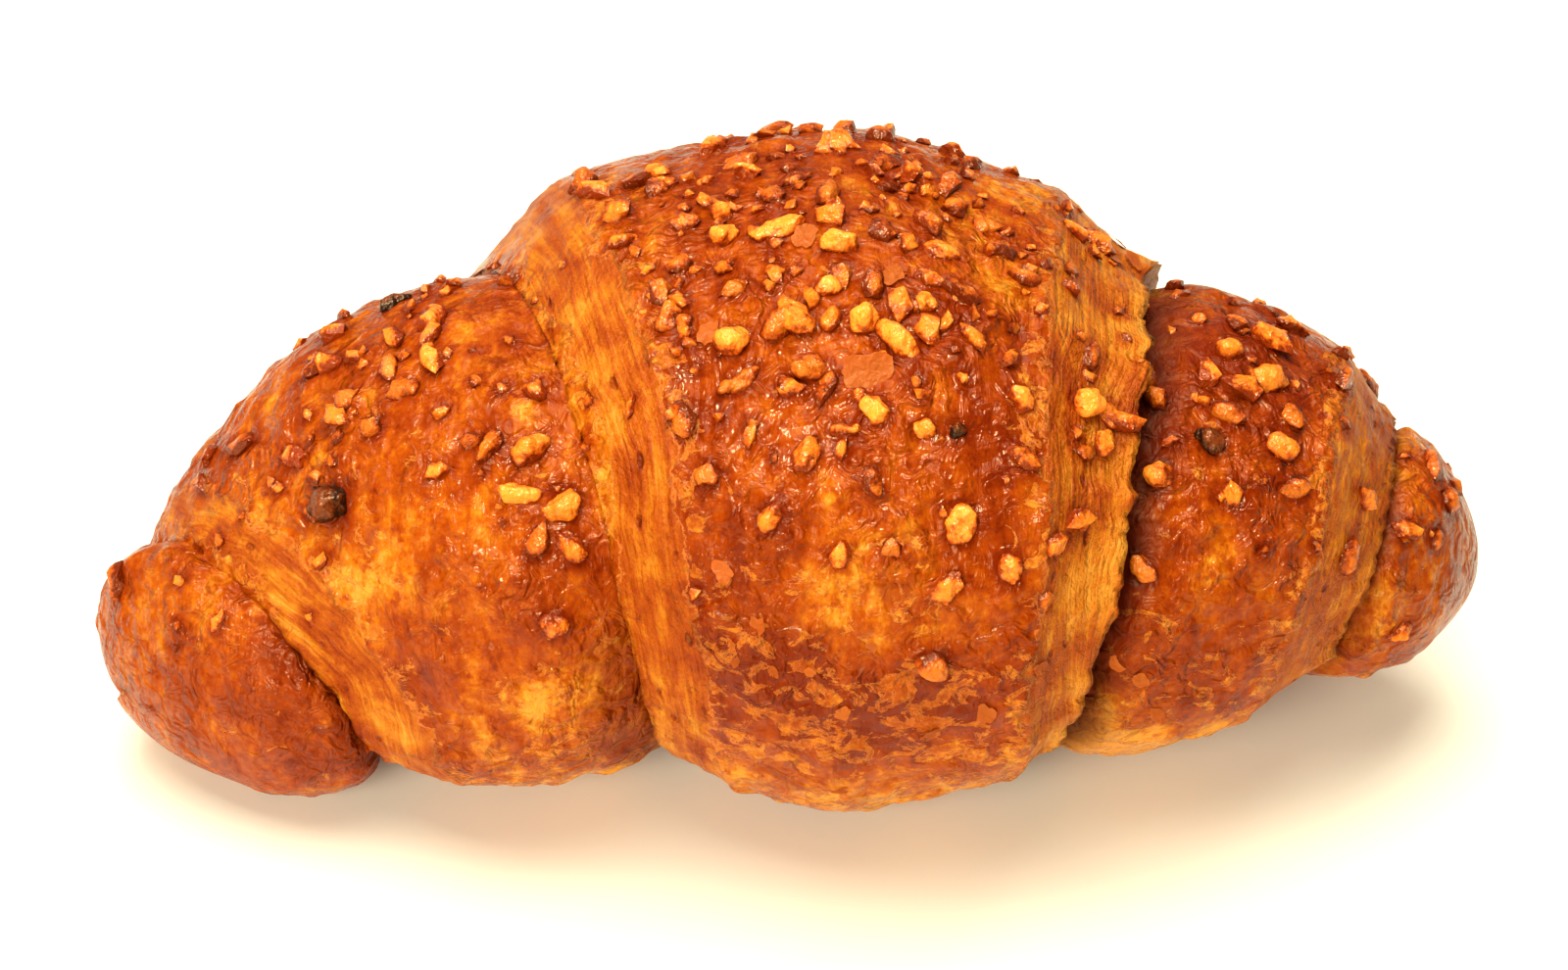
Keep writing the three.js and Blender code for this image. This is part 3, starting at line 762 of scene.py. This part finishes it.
# ---- what is scattered over the glaze
def chip_form(name, seed, facets=9):
    """A broken chip about one millimetre across with flat breaks, for the pieces of nut."""
    form = bmesh.new()
    way = Vector((seed * 2.71, seed * 1.37, seed * 3.93))
    long = 1.45 + 0.9 * noise.noise(way)
    for k in range(facets):
        high = 1 - 2 * (k + 0.5) / facets
        turn = k * 2.4 + seed
        reach = 0.00048 * (1 + 0.5 * noise.noise(way + Vector((k * 1.9, k * 0.7, 0.3))))
        wide = math.sqrt(1 - high * high)
        form.verts.new((reach * wide * math.cos(turn) * long, reach * wide * math.sin(turn),
                        reach * high * 0.85))
    bmesh.ops.convex_hull(form, input=form.verts[:])
    loose = [v for v in form.verts if not v.link_faces]
    bmesh.ops.delete(form, geom=loose, context="VERTS")
    bmesh.ops.subdivide_edges(form, edges=form.edges[:], cuts=1, use_grid_fill=True)
    bmesh.ops.triangulate(form, faces=form.faces)
    form.normal_update()
    for v in form.verts:
        v.co += v.normal * 0.00016 * noise.noise(v.co * 2300 + way)
    bmesh.ops.recalc_face_normals(form, faces=form.faces)
    made = form_object(name, form)
    made.data.set_sharp_from_angle(angle=math.radians(38))
    # stand is high on top and on upturned faces and low below: it drives painted shade, partly
    # caramel at the base
    stand = [min(max(v.co.z / 0.0009 + 0.15 + 0.5 * v.normal.z, 0), 1) for v in made.data.vertices]
    made.data.attributes.new("stand", "FLOAT", "POINT").data.foreach_set("value", stand)
    return made


# in metres: how thick a scale of glaze is meant to be, and how far the larger ones stand off
FLAKE_THICK = 0.00009
FLAKE_LIFT = 0.0003


def flake_form(name, seed):
    """A thin ragged scale of peeled glaze, curled up along one side."""
    form = bmesh.new()
    count = 20
    rim = []
    for k in range(count):
        angle = 2 * math.pi * k / count
        way = Vector((math.cos(angle), math.sin(angle), seed * 5.1))
        reach = 0.0010 * (1 + 0.35 * noise.noise(way * 1.3) + 0.20 * noise.noise(way * 4.3))
        rim.append(form.verts.new((reach * math.cos(angle) * 1.45, reach * math.sin(angle), 0)))
    heart = form.verts.new((0, 0, 0.00006))
    for k in range(count):
        form.faces.new((rim[k], rim[(k + 1) % count], heart))
    for v in form.verts:
        curl = max(v.co.y, 0) / 0.001
        v.co.z += 0.00030 * curl * curl + 0.00008 * noise.noise(v.co * 2500 + Vector((seed, 0, 0)))
    # known fault: the faces have no normals yet, so this doubles them and gives no thickness;
    # form.normal_update() before it would
    bmesh.ops.solidify(form, geom=form.faces[:], thickness=FLAKE_THICK)
    bmesh.ops.recalc_face_normals(form, faces=form.faces)
    return form_object(name, form)


def laid_flakes(name, rows, surface, finish):
    """The larger loose scales of glaze: side, around, across, size in mm and how each is turned."""
    whole = bmesh.new()
    for i, (side, around, across, size, turned) in enumerate(rows):
        flake = flake_form("flake", i + 31)
        near, normal, _, _ = surface.find_nearest(Vector(spot(side, around, across)))
        stood = normal.to_track_quat("Z", "Y").to_matrix().to_4x4()
        spun = Matrix.Rotation(turned, 4, "Z") @ Matrix.Scale(size, 4)
        flake.data.transform(Matrix.Translation(near + normal * FLAKE_LIFT) @ stood @ spun)
        whole.from_mesh(flake.data)
        bpy.data.objects.remove(flake)
    mesh = bpy.data.meshes.new(name)
    whole.to_mesh(mesh)
    whole.free()
    tones = mesh.attributes.new("tone", "FLOAT", "POINT")
    tones.data.foreach_set("value", [0.35] * len(mesh.vertices))
    mesh.materials.append(finish)
    flakes = bpy.data.objects.new(name, mesh)
    bpy.context.scene.collection.objects.link(flakes)
    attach(flakes, "root")


def form_object(name, form):
    mesh = bpy.data.meshes.new(name)
    form.to_mesh(mesh)
    form.free()
    return bpy.data.objects.new(name, mesh)


def scatter(name, ground, forms, density_note, spacing, density, sizes, lean, sink, seed, finish):
    """Copies of the forms over the ground, where a note on it says they lie, as one plain mesh."""
    store = bpy.data.collections.new(name + "_forms")
    for form in forms:
        store.objects.link(form)
    tree = bpy.data.node_groups.new(name + "_scatter", "GeometryNodeTree")
    face = tree.interface
    face.new_socket("Ground", in_out="INPUT", socket_type="NodeSocketGeometry")
    face.new_socket("Scattered", in_out="OUTPUT", socket_type="NodeSocketGeometry")
    inputs = {}
    for label, value in (("Spacing", spacing), ("Density", density), ("Smallest", sizes[0]),
                         ("Largest", sizes[1]), ("Lean", lean), ("Sink", sink)):
        socket = face.new_socket(label, in_out="INPUT", socket_type="NodeSocketFloat")
        inputs[label] = (socket.identifier, value)

    def node(kind, settings=None, **values):
        made = tree.nodes.new(kind)
        for key, value in (settings or {}).items():
            setattr(made, key, value)
        for key, value in values.items():
            key = key.replace("__", " ")
            socket = made.inputs[int(key[1:])] if key[0] == "_" else made.inputs[key]
            if isinstance(value, bpy.types.NodeSocket):
                tree.links.new(value, socket)
            else:
                socket.default_value = value
        return made

    given = tree.nodes.new("NodeGroupInput").outputs
    fall = node("GeometryNodeInputNamedAttribute", {"data_type": "FLOAT"}, Name=density_note)
    points = node("GeometryNodeDistributePointsOnFaces", {"distribute_method": "POISSON"},
                  Mesh=given["Ground"], Distance__Min=given["Spacing"],
                  Density__Max=given["Density"], Density__Factor=fall.outputs[0], Seed=seed)
    spin = node("FunctionNodeRandomValue", {"data_type": "FLOAT"}, Seed=seed + 1)
    spin.inputs[2].default_value, spin.inputs[3].default_value = 0.0, 2 * math.pi
    tilt = node("FunctionNodeRandomValue", {"data_type": "FLOAT"}, Seed=seed + 2)
    minus = node("ShaderNodeMath", {"operation": "MULTIPLY"}, _0=given["Lean"], _1=-1.0)
    tree.links.new(minus.outputs[0], tilt.inputs[2])
    tree.links.new(given["Lean"], tilt.inputs[3])
    euler = node("ShaderNodeCombineXYZ", None, X=tilt.outputs[1], Z=spin.outputs[1])
    turned = node("FunctionNodeEulerToRotation", None, _0=euler.outputs[0])
    rotation = node("FunctionNodeRotateRotation", {"rotation_space": "LOCAL"},
                    Rotation=points.outputs["Rotation"], Rotate__By=turned.outputs[0])
    size = node("FunctionNodeRandomValue", {"data_type": "FLOAT"}, Seed=seed + 3)
    tree.links.new(given["Smallest"], size.inputs[2])
    tree.links.new(given["Largest"], size.inputs[3])
    chosen = node("GeometryNodeCollectionInfo", {"transform_space": "ORIGINAL"}, Collection=store,
                  Separate__Children=True, Reset__Children=True)
    copies = node("GeometryNodeInstanceOnPoints", None, Points=points.outputs["Points"],
                  Instance=chosen.outputs[0], Pick__Instance=True, Rotation=rotation.outputs[0],
                  Scale=size.outputs[1])
    down = node("ShaderNodeMath", {"operation": "MULTIPLY"}, _0=given["Sink"], _1=-1.0)
    lower = node("ShaderNodeCombineXYZ", None, Z=down.outputs[0])
    sunk = node("GeometryNodeTranslateInstances", None, Instances=copies.outputs[0],
                Translation=lower.outputs[0], Local__Space=True)
    tone = node("FunctionNodeRandomValue", {"data_type": "FLOAT"}, Seed=seed + 4)
    noted = node("GeometryNodeStoreNamedAttribute", {"data_type": "FLOAT", "domain": "INSTANCE"},
                 Geometry=sunk.outputs[0], Name="tone", Value=tone.outputs[1])
    real = node("GeometryNodeRealizeInstances", None, _0=noted.outputs[0])
    dressed = node("GeometryNodeSetMaterial", None, Geometry=real.outputs[0], Material=finish)
    tree.links.new(dressed.outputs[0], tree.nodes.new("NodeGroupOutput").inputs[0])

    host = bpy.data.objects.new(name + "_host", ground.data)
    bpy.context.scene.collection.objects.link(host)
    modifier = host.modifiers.new("scatter", "NODES")
    modifier.node_group = tree
    for identifier, value in inputs.values():
        modifier[identifier] = value
    bpy.context.view_layer.update()
    ready = host.evaluated_get(bpy.context.evaluated_depsgraph_get())
    mesh = bpy.data.meshes.new_from_object(ready)
    host.modifiers.remove(modifier)
    bpy.data.objects.remove(host)
    mesh.name = name
    piece = bpy.data.objects.new(name, mesh)
    bpy.context.scene.collection.objects.link(piece)
    for form in forms:
        bpy.data.objects.remove(form)
    bpy.data.collections.remove(store)
    if not mesh.materials:
        mesh.materials.append(finish)
    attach(piece, "root")
    return piece


def pool_caramel_and_shade(dough, pieces):
    """Notes on the dough where its glaze has pooled and browned against the pieces of nut, with
    painted shade.
    """
    places = [v.co.copy() for piece in pieces for v in piece.data.vertices]
    tree = KDTree(len(places))
    for i, place in enumerate(places):
        tree.insert(place, i)
    tree.balance()
    near = np.array([tree.find(v.co)[2] for v in dough.data.vertices])
    # a dark ring within about 0.7 mm of each piece: partly pooled glaze, partly painted shade
    pooled = np.exp(-(near / 0.0007) ** 2)
    dough.data.attributes.new("caramel_and_shade", "FLOAT", "POINT").data.foreach_set("value", pooled)


# ---- the stage
# the camera: what it looks at, in the solid's own millimetres, degrees up and metres away
CAMERA_AIM = (-6.4, 0, 28.3)
CAMERA_HIGH = 35
CAMERA_AWAY = 0.4


def make_stage():
    floor_mesh = bpy.data.meshes.new("floor")
    reach = 3.0
    floor_mesh.from_pydata([(-reach, -reach, 0), (reach, -reach, 0), (reach, reach, 0),
                            (-reach, reach, 0)], [], [(0, 1, 2, 3)])
    floor = bpy.data.objects.new("floor", floor_mesh)
    bpy.context.scene.collection.objects.link(floor)
    f = Finish("pale_table")
    table = f.finish((0.92, 0.87, 0.68, 1.0), 0.6, specular=0.1)
    glow = table.node_tree.nodes["Principled BSDF"]
    glow.inputs["Emission Color"].default_value = (1.0, 0.985, 0.90, 1)
    glow.inputs["Emission Strength"].default_value = 0.04
    floor_mesh.materials.append(table)

    world = bpy.data.worlds.new("studio")
    bpy.context.scene.world = world
    world.use_nodes = True
    sky = world.node_tree.nodes["Background"]
    sky.inputs["Color"].default_value = (1.0, 0.945, 0.82, 1)
    sky.inputs["Strength"].default_value = 0.22

    def panel(name, place, aim, size, power, tint, glints_only=False):
        """A soft lamp in metres and watts. One for glints only shows as a reflection alone."""
        light = bpy.data.lights.new(name, "AREA")
        light.shape = "RECTANGLE"
        light.size, light.size_y = size
        light.energy = power
        light.color = tint
        lamp = bpy.data.objects.new(name, light)
        lamp.location = place
        lamp.visible_diffuse = not glints_only
        lamp.rotation_euler = (Vector(aim) - Vector(place)).to_track_quat("-Z", "Y").to_euler()
        bpy.context.scene.collection.objects.link(lamp)

    panel("overhead", (-0.05, 0.03, 0.60), (0, 0, 0.02), (0.66, 0.54), 7.9, (1.0, 0.965, 0.88))
    panel("key", (-0.05, -0.16, 0.60), (0, 0, 0.03), (0.11, 0.08), 8.5, (1.0, 0.97, 0.90), True)
    panel("front_fill", (-0.27, -0.62, 0.33), (0, 0, 0.03), (0.30, 0.24), 5.6, (1.0, 0.95, 0.84))

    data = bpy.data.cameras.new("camera")
    data.lens, data.sensor_width = 85, 36
    camera = bpy.data.objects.new("camera", data)
    aim = Vector(np.array(CAMERA_AIM) + SHIFT) * MM
    high = math.radians(CAMERA_HIGH)
    camera.location = aim + Vector((0, -math.cos(high), math.sin(high))) * CAMERA_AWAY
    camera.rotation_euler = (math.radians(90) - high, 0, 0)
    bpy.context.scene.collection.objects.link(camera)
    bpy.context.scene.camera = camera
    bpy.context.scene.view_settings.view_transform = "Standard"


# ---- put together
make_stage()
dough = make_dough()
dough.data.materials.append(baked_dough())
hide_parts("croissant")
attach(dough, "root")

surface = BVHTree.FromPolygons([v.co.copy() for v in dough.data.vertices],
                               [tuple(p.vertices) for p in dough.data.polygons])
ROASTS = {
    "pale": roasted_nut("pale_nut", (1.0, 0.285, 0.024), (0.58, 0.096, 0.0045),
                        (0.24, 0.024, 0.0011)),
    "golden": roasted_nut("golden_nut", (0.80, 0.205, 0.013), (0.45, 0.070, 0.0032),
                          (0.20, 0.020, 0.0012)),
    "brown": roasted_nut("brown_nut", (0.58, 0.13, 0.007), (0.33, 0.042, 0.0020),
                         (0.14, 0.014, 0.0008)),
    "burnt": roasted_nut("burnt_nut", (0.17, 0.028, 0.003), (0.045, 0.008, 0.0012),
                         (0.014, 0.003, 0.0008)),
}
nuts = []
for roast, finish in ROASTS.items():
    nodes = sorted(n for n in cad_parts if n.startswith(f"nut_{roast}_"))
    nuts.append(make_nuts(f"{roast}_nuts", nodes, surface, finish))

chips = [
    scatter("pale_chips", dough, [chip_form(f"pale_chip_{i}", i + 20, 12) for i in range(1, 9)],
            "nuts_fall", 0.0050, 9000, (1.9, 3.3), 0.8, -0.00012, 51, ROASTS["pale"]),
    scatter("golden_chips", dough, [chip_form(f"golden_chip_{i}", i + 40, 12) for i in range(1, 9)],
            "nuts_fall", 0.0036, 34000, (1.7, 3.3), 0.8, -0.00010, 71, ROASTS["golden"]),
    scatter("brown_chips", dough, [chip_form(f"brown_chip_{i}", i + 60, 12) for i in range(1, 9)],
            "nuts_fall", 0.0034, 40000, (1.6, 3.2), 0.8, -0.00008, 91, ROASTS["brown"]),
    scatter("golden_crumbs", dough, [chip_form(f"crumb_{i}", i) for i in range(1, 6)], "nuts_fall",
            0.0022, 50000, (0.8, 1.8), 0.5, -0.00005, 11, ROASTS["golden"]),
    scatter("brown_crumbs", dough, [chip_form(f"bit_{i}", i + 7) for i in range(1, 6)], "nuts_fall",
            0.0022, 50000, (0.8, 1.8), 0.5, -0.00005, 31, ROASTS["brown"]),
]
FLAKE = glaze_flake()
scatter("glaze_flakes", dough, [flake_form(f"flake_{i}", i) for i in range(1, 9)], "flakes_fall",
        0.0024, 24000, (0.35, 0.85), 0.35, -0.00005, 131, FLAKE)
laid_flakes("loose_flakes", [
    (RIGHT, 145, 0.08, 1.8, 0.3), (LEFT, 171, 0.19, 1.2, 1.2), (LEFT, 154, 0.68, 1.1, 2.0),
    (RIGHT, 163, 0.22, 1.0, 0.8), (LEFT, 112, 0.80, 0.9, 2.6), (RIGHT, 88, 0.75, 0.9, 1.7),
    (RIGHT, 202, 1.85, 1.1, 0.4), (RIGHT, 208, 1.65, 0.9, 1.4), (RIGHT, 196, 1.7, 0.8, 2.2)],
    surface, FLAKE)
pool_caramel_and_shade(dough, nuts + chips)
